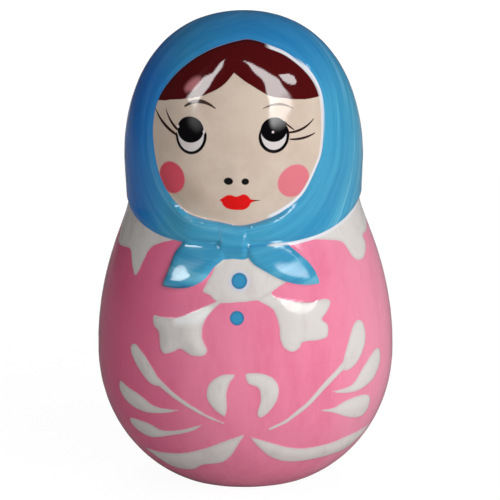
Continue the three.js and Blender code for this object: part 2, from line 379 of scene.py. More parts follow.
def through(points):
    """A closed brush outline through points; a point with a third value is a sharp corner."""
    count = len(points)
    spots = np.array([p[:2] for p in points], float)
    sharp = [len(p) > 2 for p in points]
    drawn = []
    for i in range(count):
        before, here, there, after = (spots[(i + k) % count] for k in (-1, 0, 1, 2))
        leave = (there - here) if sharp[i] else (there - before) / 2
        arrive = (there - here) if sharp[(i + 1) % count] else (after - here) / 2
        drawn.append(curve(here, here + leave / 3, there - arrive / 3, there, BRUSH_STEPS))
    return np.vstack(drawn)


def inside(shape, across, up, far=FAR):
    """How far each point lies inside a painted shape, negative outside it."""
    outline = through(shape)
    low, high = outline.min(0) - far, outline.max(0) + far
    near = (across > low[0]) & (across < high[0]) & (up > low[1]) & (up < high[1])
    px, pz = across[near], up[near]
    best = np.full(px.shape, far * far)
    within = np.zeros(px.shape, bool)
    for (ax, az), (bx, bz) in zip(outline, np.roll(outline, -1, axis=0)):
        dx, dz = bx - ax, bz - az
        t = np.clip(((px - ax) * dx + (pz - az) * dz) / max(dx * dx + dz * dz, 1e-12), 0, 1)
        best = np.minimum(best, (px - ax - t * dx) ** 2 + (pz - az - t * dz) ** 2)
        if az != bz:
            crossed = ((az > pz) != (bz > pz)) & (px < ax + (pz - az) * dx / dz)
            within ^= crossed
    found = np.full(across.shape, -float(far))
    found[near] = np.where(within, 1, -1) * np.sqrt(best)
    return found


def along(points, across, up):
    """How far each point lies inside a stroke; each of its points has its half width third."""
    found = np.full(across.shape, -FAR)
    for (ax, az, aw), (bx, bz, bw) in zip(points, points[1:]):
        dx, dz = bx - ax, bz - az
        t = np.clip(((across - ax) * dx + (up - az) * dz) / (dx * dx + dz * dz), 0, 1)
        off = np.hypot(across - ax - t * dx, up - az - t * dz)
        found = np.maximum(found, aw + t * (bw - aw) - off)
    return found


# The white leaves, bells, collar and shoulder frills, as the brush left them
TIP = True
SHOULDER_LEFT = [
    (-52, 86), (-54, 79), (-52.5, 76.5), (-51, 73), (-47.5, 72.2), (-43.5, 72.5), (-39.5, 72.3),
    (-37.5, 68.5), (-35.7, 66), (-34, 67.5), (-32, 71), (-29.5, 74.5), (-25.5, 76.3), (-21, 77.5, TIP),
    (-21, 86, TIP),
]
SHOULDER_RIGHT = [
    (19, 86, TIP), (19, 77.8, TIP), (28.5, 76.5), (34, 75), (37.5, 71), (40.5, 69.2), (44.5, 69.5),
    (47.3, 72.5), (46.5, 75), (51, 75.5), (57, 77.5), (57.5, 80), (52, 86),
]
COLLAR = [
    (-6, 76, TIP), (-7.4, 71), (-9.6, 67), (-11.2, 64.3, TIP), (-8.8, 63.2), (-7.5, 62), (-5.5, 61.2, TIP),
    (0, 61.6), (5.2, 62, TIP), (8.4, 63.8, TIP), (10.6, 65.2), (13.3, 66.7, TIP), (10, 69.4), (5, 73),
    (1.5, 76, TIP),
]
BELL_LEFT = [
    (-6.3, 62, TIP), (-12.5, 59), (-19.5, 56.2), (-25, 56), (-27.2, 56), (-27, 53.3), (-25.2, 51.5),
    (-24.8, 47.5), (-23.5, 45.6), (-20.5, 46.4), (-18, 47.6), (-14.5, 46), (-11, 46.1), (-9.9, 47.8),
    (-11.4, 52), (-10.5, 56), (-8, 59.3), (-5.5, 61.6, TIP),
]
BELL_RIGHT = [
    (5.5, 62.6, TIP), (8.4, 63.9, TIP), (10.5, 62.4), (15, 61.2), (20.5, 60.3), (25.5, 60.8),
    (27.5, 59.6), (26, 57), (24.3, 55.2), (26.3, 53.3), (26.3, 50.3), (24, 49.5), (18, 49.4),
    (17.3, 48), (15, 46.9), (12.5, 48.3), (11.4, 51), (11, 55), (9.2, 59.3), (4.5, 62.2, TIP),
]
LEAF_LEFT_HIGH = [
    (-23.5, 35.8, TIP), (-25.5, 38), (-30, 43.4), (-34.5, 46.7), (-36.6, 45), (-34, 40.8), (-28.5, 36),
]
LEAF_LEFT_MIDDLE = [
    (-18.5, 29, TIP), (-27, 29), (-33, 31.6), (-38.5, 33.1), (-42.2, 34.2), (-42.5, 31), (-38, 27.7),
    (-31, 26.5), (-24, 27.4),
]
LEAF_LEFT_LOW = [
    (-11.5, 25.2, TIP), (-18, 22.7), (-25, 21.4), (-31, 22.9), (-38.8, 22.6), (-37, 19.6), (-30, 18),
    (-22, 20.2), (-15, 22.6),
]
LEAF_RIGHT_HIGH = [
    (32, 39.2, TIP), (34.5, 39.1), (38.7, 41.6), (41.7, 46.5), (41, 51.2), (38.6, 52.8), (36, 51.2),
    (33.5, 46), (32, 42.2),
]
LEAF_RIGHT_MIDDLE = [
    (27.5, 33.4, TIP), (35.5, 34.2), (40.5, 38.5), (46, 42), (49.3, 42.3), (50.2, 38.5), (46, 34),
    (38.5, 31.9), (32, 32.3),
]
LEAF_RIGHT_LOW = [
    (22, 28.5, TIP), (28.5, 28.2), (33, 29.6), (40, 30), (44.3, 28.5), (44.4, 25), (41, 22.7),
    (35, 23.7), (28, 26.8),
]
CRESCENT_LEFT = [
    (-2.35, 41), (-6.35, 40.3), (-9.55, 37.3), (-9.75, 33), (-7.15, 29.6), (-4.95, 28, TIP), (-4.25, 30.5),
    (-4.35, 35), (-3.35, 38.4), (-2.15, 40),
]
CRESCENT_RIGHT = [
    (1.65, 41.2), (6.15, 41), (9.65, 39), (10.85, 35.5), (9.25, 31.2), (5.85, 27.8), (4.55, 29), (5.55, 33),
    (4.95, 36.8), (2.25, 38.2), (1.35, 40),
]
FOOT_LEAF_LEFT = [
    (0.65, 22.2, TIP), (-4.85, 20), (-12.35, 16.4), (-19.35, 14), (-27.35, 12.8), (-34.35, 12.6, TIP),
    (-29.35, 10), (-23.35, 7.6), (-16.35, 7.8), (-11.85, 10.7), (-6.35, 12.1), (-3.35, 15), (-0.95, 19.4),
]
FOOT_LEAF_RIGHT = [
    (2.25, 21.6, TIP), (8.65, 19), (16.65, 16.2), (26.65, 16), (36.65, 17), (49.65, 17.2, TIP),
    (41.65, 13.4), (34.65, 11.4), (25.65, 11.2), (14.65, 11.5), (8.65, 13.8), (4.65, 18),
]
STEM_LEFT = [(-5.5, 26, 0.25), (-10.5, 28, 0.4), (-16, 30.9, 0.55), (-20.5, 33.5, 0.7), (-26, 37.3, 1)]
STEM_RIGHT = [(8, 23.8, 0.35), (13, 26, 0.5), (20, 31, 0.65), (25.5, 36, 0.8), (32.5, 41, 1)]
WHITE_SHAPES = [
    SHOULDER_LEFT, SHOULDER_RIGHT, COLLAR, BELL_LEFT, BELL_RIGHT, LEAF_LEFT_HIGH, LEAF_LEFT_MIDDLE,
    LEAF_LEFT_LOW, LEAF_RIGHT_HIGH, LEAF_RIGHT_MIDDLE, LEAF_RIGHT_LOW, CRESCENT_LEFT, CRESCENT_RIGHT,
    FOOT_LEAF_LEFT, FOOT_LEAF_RIGHT,
]
WHITE_THICKNESS = 0.12
WHITE_EDGE = 0.6
WHITE_CROWN = 0.45
WHITE_ROUND = 6
BELL_CROWN = 1.0
BELL_ROUND = 6.5
# The rounds that even out the crown, and how far outside the white's edge its height still counts
EVENED = 12
NEAR_WHITE = -2
# The bells swell from here outwards, off the front line; the frills above stay flat
BELL_FROM = 8
BELL_FULL = 13
FLAT_ABOVE = 60


def white_paint(across, up):
    found = np.full(across.shape, -FAR)
    for shape in WHITE_SHAPES:
        found = np.maximum(found, inside(shape, across, up))
    for stem in (STEM_LEFT, STEM_RIGHT):
        found = np.maximum(found, along(stem, across, up))
    return found


def softened(piece, values, rounds):
    """Values on the vertices, evened out along the mesh's edges, so that no ridge stays sharp."""
    ends = np.empty(len(piece.data.edges) * 2, np.int32)
    piece.data.edges.foreach_get("vertices", ends)
    first, second = ends.reshape(-1, 2).T
    count = len(values)
    links = np.maximum(np.bincount(ends, minlength=count), 1)
    for _ in range(rounds):
        around = np.bincount(first, values[second], count) + np.bincount(second, values[first], count)
        values = (values + around / links) / 2
    return values


def crowned(depth, across_edge):
    return 1 - (1 - np.clip(depth / across_edge, 0, 1)) ** 2


def white_height(piece, white, across, up):
    """The white lies thick: a low rounded edge, and a crown, highest over the two bells."""
    bells = np.maximum(*(inside(shape, across, up) for shape in (BELL_LEFT, BELL_RIGHT)))
    swell = smooth((np.abs(across) - BELL_FROM) / (BELL_FULL - BELL_FROM))
    crown = np.maximum(WHITE_CROWN * crowned(white, WHITE_ROUND) * (up < FLAT_ABOVE),
                       BELL_CROWN * crowned(bells, BELL_ROUND) * swell)
    height = softened(piece, crown, EVENED) + WHITE_THICKNESS * smooth(white / WHITE_EDGE + 0.5)
    return height * (white > NEAR_WHITE)


# Each slow wave in the lacquer: how fast it runs along X, Y and Z, and where it starts
LACQUER_WAVES = [
    ((0.9, 0.3, 0.5), 0.4), ((-0.5, 0.8, 0.7), 1.9), ((0.3, -0.6, 1.1), 3.1), ((1.2, 0.5, -0.6), 5.2),
    ((-0.8, -0.4, 1.3), 2.6), ((0.2, 1.3, -0.4), 4.4),
]
LACQUER_UNEVEN = 0.006
SLOPE_STEP = 0.3


def uneven(spots):
    """The brushed lacquer is never quite even, which makes its reflections waver."""
    return LACQUER_UNEVEN * sum(np.sin(spots @ np.array(speed) + start) for speed, start in LACQUER_WAVES)


def raise_paint(piece, doll, height):
    """Moves painted vertices out of the wood by a height in millimetres on the outer doll."""
    spots = vertex_places(piece)
    painted = np.empty(len(spots))
    piece.data.attributes["painted"].data.foreach_get("value", painted)
    outline = wood_outline(doll, SLOPE_STEP)
    way = np.diff(outline, axis=0)
    way /= np.hypot(way[:, 0], way[:, 1])[:, None]
    middle = (outline[1:, 1] + outline[:-1, 1]) / 2
    z = spots[:, 2] / MM - doll.standing
    out = np.interp(z, middle, way[:, 1])
    lift = np.interp(z, middle, -way[:, 0])
    radius = np.hypot(spots[:, 0], spots[:, 1])
    angle = np.arctan2(spots[:, 0], -spots[:, 1])
    move = (height + uneven(spots / MM / doll.share)) * doll.share * MM * (painted > 0.5)
    radius = np.where(radius > 1e-7, radius + move * out, radius)
    spots[:, 0] = radius * np.sin(angle)
    spots[:, 1] = -radius * np.cos(angle)
    spots[:, 2] += move * lift
    piece.data.vertices.foreach_set("co", spots.ravel())
    piece.data.update()


def linear(red, green, blue):
    """A colour as the eye reads it, 0 to 255, in the shader's own linear units."""
    steps = [c / 255 for c in (red, green, blue)]
    return tuple(c / 12.92 if c <= 0.04045 else ((c + 0.055) / 1.055) ** 2.4 for c in steps) + (1,)


def blend(share, first, second):
    """first where share is 0, second where it is 1."""
    mixer = add("ShaderNodeMix", share, data_type="RGBA")
    put(first, mixer.inputs[6])
    put(second, mixer.inputs[7])
    return mixer.outputs[2]


def layered(ground, layers):
    """A ground colour with layers over it, each a mask and a colour."""
    for mask, colour in layers:
        ground = blend(mask, ground, colour)
    return ground


def paint_group(name, inputs, outputs):
    """A new shader group with named inputs and outputs: the tree, what it is given, what it gives."""
    tree = bpy.data.node_groups.new(name, "ShaderNodeTree")
    for title, default in inputs.items():
        socket(tree, title, "NodeSocketVector" if isinstance(default, tuple) else "NodeSocketFloat", default)
    for title in outputs:
        socket(tree, title, "NodeSocketColor" if "Colour" in title else "NodeSocketFloat", output=True)
    given = list(tree.nodes.new("NodeGroupInput").outputs)[:len(inputs)]
    return tree, given, tree.nodes.new("NodeGroupOutput").inputs


def use(group, **values):
    """A group placed in its first value's tree, its inputs given by name with _ for a space."""
    new = add("ShaderNodeGroup", tree=next(iter(values.values())).id_data, node_tree=group)
    for title, value in values.items():
        put(value, new.inputs[title.replace("_", " ")])
    return new.outputs


def noise(vector, scale, detail=2.0, roughness=0.5):
    new = add("ShaderNodeTexNoise", tree=vector.id_data)
    for title, value in (("Vector", vector), ("Scale", scale), ("Detail", detail), ("Roughness", roughness)):
        put(value, new.inputs[title])
    return new.outputs["Fac"]


def vectors(operation, *values):
    """Vector maths; a length or a dot product comes out as a plain value."""
    made = add("ShaderNodeVectorMath", *values, operation=operation).outputs
    return made["Value" if operation in ("LENGTH", "DOT_PRODUCT") else "Vector"]


def spot_on(tree):
    """The spot on the piece, in metres."""
    return tree.nodes.new("ShaderNodeTexCoord").outputs["Object"]


def stretched(tree, across, up):
    """The spot scaled unevenly, so that noise on it runs in streaks."""
    return vectors("MULTIPLY", spot_on(tree), (across, across, up))


def fade(value, low, high, full=1):
    """A smooth rise from 0 at low to full at high; low may be the larger one."""
    new = add("ShaderNodeMapRange", value, low, high, 0, full, interpolation_type="SMOOTHSTEP")
    return new.outputs[0]


def where(*limits):
    """The product of several fades, each given as value, low and high."""
    return times(*[fade(*limit) for limit in limits])


# The wavering edge that a brush leaves
EDGE_WAVES = 520
paint_edge, (deep, waver, softness), gives = paint_group(
    "paint edge", {"Inside": 0.0, "Waver": 0.12, "Softness": 0.12}, ["Mask"])
shifted = scaled(minus(noise(spot_on(paint_edge), EDGE_WAVES), 0.5), waver, deep)
put(fade(shifted, times(softness, -1), softness), gives["Mask"])

# Streaks of thicker and thinner paint: broad ones with finer ones in them
ORIGIN = (0.0, 0.0, 0.0)
FINER = 4.3
brush_streaks, (place,), gives = paint_group("brush streaks", {"Place": ORIGIN}, ["Value", "Height"])
fine = noise(place, FINER, 4, 0.6)
put(scaled(fine, 0.25, times(noise(place, 1.0, 3), 0.75)), gives["Value"])
put(fine, gives["Height"])

PINK = linear(235, 133, 163)
PINK_DEEP = linear(225, 115, 149)
# Painted reflection: a paler pink towards the doll's left edge
PINK_SHEEN = linear(238, 168, 189)
# Painted shade: a deeper rose for the pink towards the doll's right side
PINK_SHADE = linear(224, 92, 136)
WHITE = linear(216, 211, 207)
WHITE_THIN = linear(206, 198, 195)
# How fine the brush's streaks are across and up a piece, as turns of the noise in a metre
PINK_STROKES = (150, 40)
WHITE_STROKES = (200, 90)

# The dress: pink laid on in upright strokes, with painted shade and a painted reflection by side, and the
# white ornament over it
dress, (inside_white, side), gives = paint_group("dress", {"White": 0.0, "Side": 0.0}, ["Colour", "Height"])
strokes = use(brush_streaks, Place=stretched(dress, *PINK_STROKES))
pink = layered(PINK_DEEP, [
    (fade(strokes["Value"], 0.2, 0.62), PINK),
    # painted shade, deepening the pink to rose towards the doll's right
    (fade(side, -0.15, -0.85, 0.75), PINK_SHADE),
    # painted reflection, paling the pink towards the doll's left edge
    (fade(side, 0.5, 0.95, 0.4), PINK_SHEEN),
])
thin = use(brush_streaks, Place=stretched(dress, *WHITE_STROKES))
edge = use(paint_edge, Inside=inside_white, Waver=0.35, Softness=0.14)["Mask"]
white = blend(where((inside_white, 0.0, 1.1), (thin["Value"], 0.3, 0.52)), WHITE_THIN, WHITE)
put(blend(edge, pink, white), gives["Colour"])
put(scaled(edge, 0.5, strokes["Height"]), gives["Height"])

COAT = {"Coat Weight": 0.9, "Coat Roughness": 0.045, "Coat IOR": 1.5, "Specular IOR Level": 0.0, "IOR": 1.5}


def finish(name, roughness):
    """A new material with its tree and its shader."""
    material = bpy.data.materials.new(name)
    material.use_nodes = True
    shader = material.node_tree.nodes["Principled BSDF"]
    shader.inputs["Roughness"].default_value = roughness
    return material, material.node_tree, shader


def lacquered(name):
    """A painted material under the gloss lacquer."""
    material, tree, shader = finish(name, 0.5)
    for title, value in COAT.items():
        shader.inputs[title].default_value = value
    return material, tree, shader


def attribute(tree, name, part="Fac"):
    return add("ShaderNodeAttribute", tree=tree, attribute_name=name).outputs[part]


def bumped(shader, height, distance):
    bump = add("ShaderNodeBump", tree=shader.id_data)
    bump.inputs["Strength"].default_value = 1.0
    bump.inputs["Distance"].default_value = distance
    put(height, bump.inputs["Height"])
    put(bump.outputs[0], shader.inputs["Normal"])


BRUSH_RELIEF = 0.00004
dress_paint, tree, shader = lacquered("dress_paint")
cloth = use(dress, White=attribute(tree, "white"), Side=attribute(tree, "side"))
put(cloth["Colour"], shader.inputs["Base Color"])
bumped(shader, cloth["Height"], BRUSH_RELIEF)

# Bare lime wood: its grain runs up the doll, and the gouge left fine rings round it
GRAIN = (900, 45)
YEARS = 620
GOUGE_MARKS = 2400
WOOD_RELIEF = 0.00009
PITH = (0.011, 0.006, 0.0)
LEVEL = (1.0, 1.0, 0.0)
turned_wood, tree, shader = finish("turned_lime_wood", 0.6)
spot = spot_on(tree)
grain = noise(stretched(tree, *GRAIN), 1.0, 5, 0.6)
from_pith = vectors("LENGTH", vectors("MULTIPLY", vectors("SUBTRACT", spot, PITH), LEVEL))
years = noise(vector_of(times(from_pith, YEARS)), 1.0, 1)
from_axis = vectors("LENGTH", vectors("MULTIPLY", spot, LEVEL))
marks = noise(vector_of(times(from_axis, GOUGE_MARKS), 0, times(axes(spot)["Z"], GOUGE_MARKS)), 1.0, 2)
shades = layered(linear(216, 186, 142), [
    (fade(grain, 0.3, 0.7), linear(236, 213, 174)),
    (fade(years, 0.5, 0.68, 0.35), linear(188, 148, 102)),
    (fade(marks, 0.4, 0.65, 0.12), linear(196, 160, 116)),
])
put(shades, shader.inputs["Base Color"])
bumped(shader, scaled(marks, 0.7, grain), WOOD_RELIEF)

# Off the front the drawing's place is sunk below its foot; the side fades in as the wood gets wide
SUNK = -50
SIDE_RADIUS = 30


def dress_piece(piece, body, node):
    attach(piece, body)
    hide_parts(node)


def keep_drawing(piece, across, up, angle, white):
    """Keeps the place on the drawing, the white paint, and the height and side.

    The side runs from -1 at the doll's right to 1 at its left, and is 0 at the crown and the back."""
    spots = np.column_stack([across, on_front(angle, up, SUNK), np.zeros(len(up))])
    drawing = piece.data.attributes.new("drawing", "FLOAT_VECTOR", "POINT")
    drawing.data.foreach_set("vector", spots.astype(np.float32).ravel())
    keep(piece, "up", up)
    radius = np.abs(across / np.where(angle == 0, 1, angle))
    keep(piece, "side", np.sin(angle) * np.clip(radius / SIDE_RADIUS, 0, 1))
    keep(piece, "white", white)


for doll, inner in zip(dolls, dolls[1:]):
    node = f"{doll.name}_base"
    base = turned(f"{doll.name}_painted_base", doll, cup_section(doll, inner), dress_paint)
    across, up, angle = drawing_place(base, doll)
    white = on_front(angle, white_paint(across, up))
    keep_drawing(base, across, up, angle, white)
    raise_paint(base, doll, white_height(base, white, across, up))
    dress_piece(base, node, node)


# The outer doll's upper half
# The head and shoulders, turned from one piece with the socket that fits over the spigot.
# The headscarf is carved in low relief, with its knot and two tails; face and hair are painted.

FACE = [
    (-29.6, 108.5), (-28, 116.7), (-23, 122.8), (-16, 128), (-8.3, 131.7), (-0.4, 133.8), (3.6, 133.9),
    (8.75, 132.4), (15.25, 129.8), (22.25, 124.8), (26.2, 119.3), (27.1, 112), (26.2, 103), (23.5, 97.3),
    (19, 90.7), (13.25, 86.7), (7, 84), (0, 82.5), (-6, 83.4), (-12, 84.3), (-17.4, 86.2),
    (-23.6, 91.4), (-27.4, 98),
]
HEM_FRONT = 77
HEM_SIDE = 84
HEM_BACK = 58
HEM_LEAN = 0.4
# How late the hem rises to the side, and how late it falls to the back
HEM_SIDE_BEND = 3.6
HEM_BACK_BEND = 1.3
KNOT = [
    (-8.6, 85), (-8.4, 79), (-7.8, 74.6), (-5.6, 73.2), (-2, 73.4), (0.8, 73.2), (2.8, 74.4), (4, 79),
    (4.2, 85),
]
CREASES = [[(-6.4, 84.6), (-6.3, 80.4)], [(2, 84), (1.8, 80.4)]]
TAIL_LEFT = [
    (-4, 80), (-12, 80), (-16, 79.4), (-18, 76.6), (-20.1, 74), (-21.6, 70.4), (-23.2, 66.6),
    (-24.2, 64.6, TIP), (-19.5, 64.4), (-14.5, 65.2), (-10.3, 67.6), (-7.6, 71), (-4.5, 74),
]
TAIL_RIGHT = [
    (1, 80), (7, 80), (11.5, 78.4), (16, 75), (20, 71.6), (22.3, 68.6), (23.9, 65.2, TIP), (19, 65.3),
    (13, 66.7), (7.5, 69.5), (2.5, 73.2),
]
KNOT_THICKNESS = 2.3
KNOT_RISE = 1.9
KNOT_ROUND = 3.2
HEM_ROLL = 1.8
HAIR = [
    (-36, 116.4, TIP), (-26.75, 116.8), (-21, 117.6), (-16, 118.2), (-11.2, 119.2), (-5.7, 121.7),
    (-3.1, 124), (-1.8, 125.6, TIP), (0.2, 124.1), (3.4, 122.1), (8.75, 119.2), (13, 118.4),
    (18, 117.7), (22, 117.5), (26.5, 117.8), (36, 118, TIP), (36, 145, TIP), (-36, 145, TIP),
]
LIPS = [
    (-7.3, 89.5, TIP), (-5.8, 90.2), (-4.7, 90.9), (-3.7, 91.4), (-2.6, 91.4), (-1.4, 91), (-0.3, 91.3),
    (0.8, 91.7), (1.8, 91.4), (2.5, 90.8), (3, 90.2), (4.7, 89.7, TIP), (3.1, 89.2), (2.6, 88.3),
    (1.7, 87.5), (0.5, 87.1), (-1.5, 87.1), (-3.8, 87.5), (-5.2, 88.5), (-5.7, 89.5),
]
# Each soft rise of the face: its middle, its half sizes and its height
FACE_RISE = [
    ((-14.3, 108.5), (7.5, 7.5), 0.55),
    ((10.2, 108.5), (7.5, 7.5), 0.55),
    ((-19, 95), (9, 8), 0.5),
    ((15, 95), (9, 8), 0.5),
    ((-0.6, 98), (4.2, 7), 0.45),
    ((-0.4, 88.5), (9, 6.5), 0.4),
]
RISE_FALL = 1.4


def cap_section(doll, inner):
    """The upper half's section from the middle of its ceiling, out through the socket, to the crown."""
    rank = doll.rank
    outline = wood_outline(doll, OUTLINE_STEP[rank])
    seam = doll.seam
    at_seam = radius_at(outline, seam)
    socket_radius = at_seam - SOCKET_WALL[rank]
    ledge = doll.rim + FIT_GAP
    lift = FLOOR[rank] + HEAD_GAP
    knot_top = (HEM_FRONT + 1) * inner.share
    widest = 0
    room = []
    for r, z in wood_outline(inner, ROOM_STEP)[::-1]:
        relief = KNOT_THICKNESS if z <= knot_top else SCARF_THICKNESS
        reach = r + relief * inner.share
        if z + lift <= ledge:
            break
        if reach > widest:
            widest = reach
            room.append((reach + SIDE_GAP, z + lift, 0))
    rows = [(0, inner.height + lift, 0)] + room + [
        (widest + SIDE_GAP, ledge, 0),
        (socket_radius, ledge, 0),
        (socket_radius, seam + RIM_CHAMFER / 2, 0),
        (socket_radius + RIM_CHAMFER / 2, seam, 0),
        (at_seam - SEAM_CHAMFER, seam, 1),
        (at_seam, seam + SEAM_CHAMFER, 1),
    ]
    return rows + [(r, z, 1) for r, z in outline if z > seam + SEAM_CHAMFER + 0.1]


def hem_inside(across, up, angle):
    """How far each point lies above the scarf's hem."""
    side = np.abs(np.sin(angle)) ** HEM_SIDE_BEND
    front = HEM_FRONT + HEM_LEAN * np.sin(angle) + (HEM_SIDE - HEM_FRONT) * side
    back = np.clip(np.abs(angle) / (math.pi / 2) - 1, 0, 1) ** HEM_BACK_BEND
    return up - np.where(np.abs(angle) < math.pi / 2, front, HEM_SIDE - (HEM_SIDE - HEM_BACK) * back)


def dome(t):
    return np.sqrt(1 - (1 - np.clip(t, 0, 1)) ** 2)


def smooth_max(first, second, blend_width):
    share = np.clip(0.5 + 0.5 * (first - second) / blend_width, 0, 1)
    return second + (first - second) * share + blend_width * share * (1 - share) / 2


def tilted(vector, angle):
    level = add("ShaderNodeVectorRotate", vector, rotation_type="Z_AXIS")
    put(angle, level.inputs["Angle"])
    return level.outputs[0]


ONE = (1.0, 1.0, 1.0)
# A filled oval: its centre and half sizes, across and up
painted_oval, (place, centre, size, tilt, softness), gives = paint_group(
    "painted oval", {"Place": ORIGIN, "Centre": ORIGIN, "Size": ONE, "Tilt": 0.0, "Softness": 0.12},
    ["Mask", "Inside"])
off = tilted(vectors("SUBTRACT", place, centre), tilt)
once = vectors("DIVIDE", off, size)
twice = vectors("DIVIDE", once, size)
reach = vectors("LENGTH", once)
steep = maths("MAXIMUM", vectors("LENGTH", twice), 0.001)
deep = over(times(reach, minus(1.0, reach)), steep)
put(deep, gives["Inside"])
put(fade(deep, times(softness, -1), softness), gives["Mask"])

# The line round an eye: an oval ring whose width changes from its foot to its top
eye_line, (place, centre, size, foot_width, top_width, turn), gives = paint_group(
    "eye line", {"Place": ORIGIN, "Centre": ORIGIN, "Size": ONE, "Foot Width": 0.9, "Top Width": 0.3,
                 "Turn": 0.0}, ["Mask"])
deep = use(painted_oval, Place=place, Centre=centre, Size=size)["Inside"]
off = vectors("DIVIDE", vectors("SUBTRACT", place, centre), size)
share = fade(axes(tilted(off, turn))["Y"], -0.1, 0.75)
spread = minus(top_width, foot_width)
width = scaled(share, spread, foot_width)
within = scaled(width, 0.5, times(maths("ABSOLUTE", deep), -1))
put(fade(within, -0.12, 0.12), gives["Mask"])

# One stroke of a fine brush, straight or bowed, which may swell in the middle
brush_line, (place, start, end, bow, start_width, end_width, swell), gives = paint_group(
    "brush line", {"Place": ORIGIN, "Start": ORIGIN, "End": (1.0, 0.0, 0.0), "Bow": 0.0,
                   "Start Width": 0.4, "End Width": 0.2, "Swell": 0.0}, ["Mask"])
run = vectors("SUBTRACT", end, start)
off = vectors("SUBTRACT", place, start)
length = vectors("LENGTH", run)
share = over(vectors("DOT_PRODUCT", off, run), times(length, length))
kept = maths("ADD", share, 0.0, clamp=True)
aside = over(axes(vectors("CROSS_PRODUCT", run, off))["Z"], length)
arch = times(kept, 4, minus(1, kept))
aside = minus(aside, times(arch, bow))
beyond = times(minus(share, kept), length)
away = maths("SQRT", scaled(aside, aside, times(beyond, beyond)))
widening = minus(end_width, start_width)
width = scaled(kept, widening, start_width)
width = scaled(arch, swell, width)
within = minus(times(width, 0.5), away)
put(fade(within, -0.1, 0.1), gives["Mask"])

SKIN = linear(211, 194, 178)
SKIN_DEEP = linear(203, 183, 167)
CHEEK = linear(221, 120, 131)
# Painted shade: a deeper colour for the cheek on the doll's right
CHEEK_SHADED = linear(214, 78, 96)
EYE_WHITE = linear(214, 206, 205)
EYE_BLACK = linear(6, 4, 7)
LINE_BROWN = linear(48, 26, 24)
BROW_BROWN = linear(66, 48, 40)
BROW_GREY = linear(112, 94, 82)
SKIN_SHADE = linear(168, 148, 130)
HAIR_RED = linear(78, 9, 12)
# Painted shade: darker hair along the scarf's edge
HAIR_EDGE_SHADE = linear(30, 6, 12)
# The pink of a painted reflection in the hair
HAIR_SHEEN = linear(186, 116, 122)
LIP_RED = linear(222, 10, 12)
LIP_DARK = linear(84, 12, 14)
GLINT = linear(226, 210, 214)
BUTTON_BLUE = linear(58, 146, 190)
BUTTON_EDGE = linear(48, 118, 164)
BUTTON_HALO = linear(206, 208, 218)

# Each oval: its middle across and up, its half width and half height, and how far it is tilted
CHEEKS = [(-21.7, 95.5, 4.9, 4.65, 0.25), (16.1, 94.9, 5.3, 4.55, -0.45)]
CHIN_SHADE = (-16.6, 92, 5.5, 3.4, 0.5)
EYE_HOLES = [(-14.9, 108.4, 4.7, 5.2), (10.0, 108.2, 4.2, 4.45)]
IRISES = [(-15.05, 109.7, 4.35, 3.65), (10.0, 109.85, 3.98, 3.4)]
GLINTS = [(-19.2, 110.3, 0.45, 0.45), (9.6, 109.2, 0.34, 0.32), (-10.6, 109.3, 0.34, 0.5)]
NOSTRILS = [(-3.45, 95.5, 1.35, 1.05), (1.45, 95.4, 1.1, 0.95)]
BUTTONS = [(-0.4, 67.4, 2.25, 2.25), (-1.1, 57.1, 2.05, 2.05)]
BUTTON_RIM = 0.5
BUTTON_GROUND = (-0.4, 67.3, 3.05, 3)
# A painted reflection: a pink patch in the hair beside the parting
HAIR_REFLECTION = (-14.6, 122.1, 3.1, 1.25, -0.6)
# A painted highlight: brighter white over the left bell's upper part
BELL_HIGHLIGHT = (-14.4, 57.4, 6.2, 2.4, -0.35)
# The line round each eye: its width at the foot and at the top, and how far that is turned
EYE_LINES = [(0.85, -3.0, -0.08), (0.95, 0.32, -0.2)]
# The white of the eyes fades out between these heights, under the lids
EYELID = (111.2, 109.8)
# Each stroke: start and end across and up, bow, width at the start and at the end, swell
LASHES = [
    (-29, 114.5, -20, 108.1, -0.7, 0.25, 0.75, 0.35),
    (-24.2, 114.7, -19.6, 109.6, -0.45, 0.2, 0.8, 0.2),
    (23.3, 111.9, 14.5, 108.8, 0.85, 0.25, 0.55, 0.3),
    (23.6, 107.9, 14.9, 106.9, 0.5, 0.3, 0.4, 0.35),
    (16.2, 109.5, 13.2, 111.8, 0.1, 0.3, 0.5, 0.1),
]
BROW_LEFT = (-16.9, 116.1, -7.4, 116, 1.6, 0.65, 0.45, 0.55)
BROW_RIGHT = (6.8, 115.8, 16, 115.4, 1.2, 0.2, 0.15, 0.5)
MOUTH_CORNER = (2.8, 89.8, 5.6, 89.8, 0.0, 0.6, 0.15, 0.0)


def together(masks):
    """The largest of several masks."""
    whole = masks[0]
    for mask in masks[1:]:
        whole = maths("MAXIMUM", whole, mask)
    return whole


def ovals(place, shapes, softness=0.12):
    """The mask of several filled ovals together."""
    return together([
        use(painted_oval, Place=place, Centre=(x, z, 0), Size=(wide, tall, 1),
            Tilt=tilt[0] if tilt else 0.0, Softness=softness)["Mask"]
        for x, z, wide, tall, *tilt in shapes])


def strokes_of(place, lines):
    """The mask of several brush lines together."""
    return together([
        use(brush_line, Place=place, Start=(x, z, 0), End=(end_x, end_z, 0), Bow=bow,
            Start_Width=first, End_Width=last, Swell=swell)["Mask"]
        for x, z, end_x, end_z, bow, first, last, swell in lines])


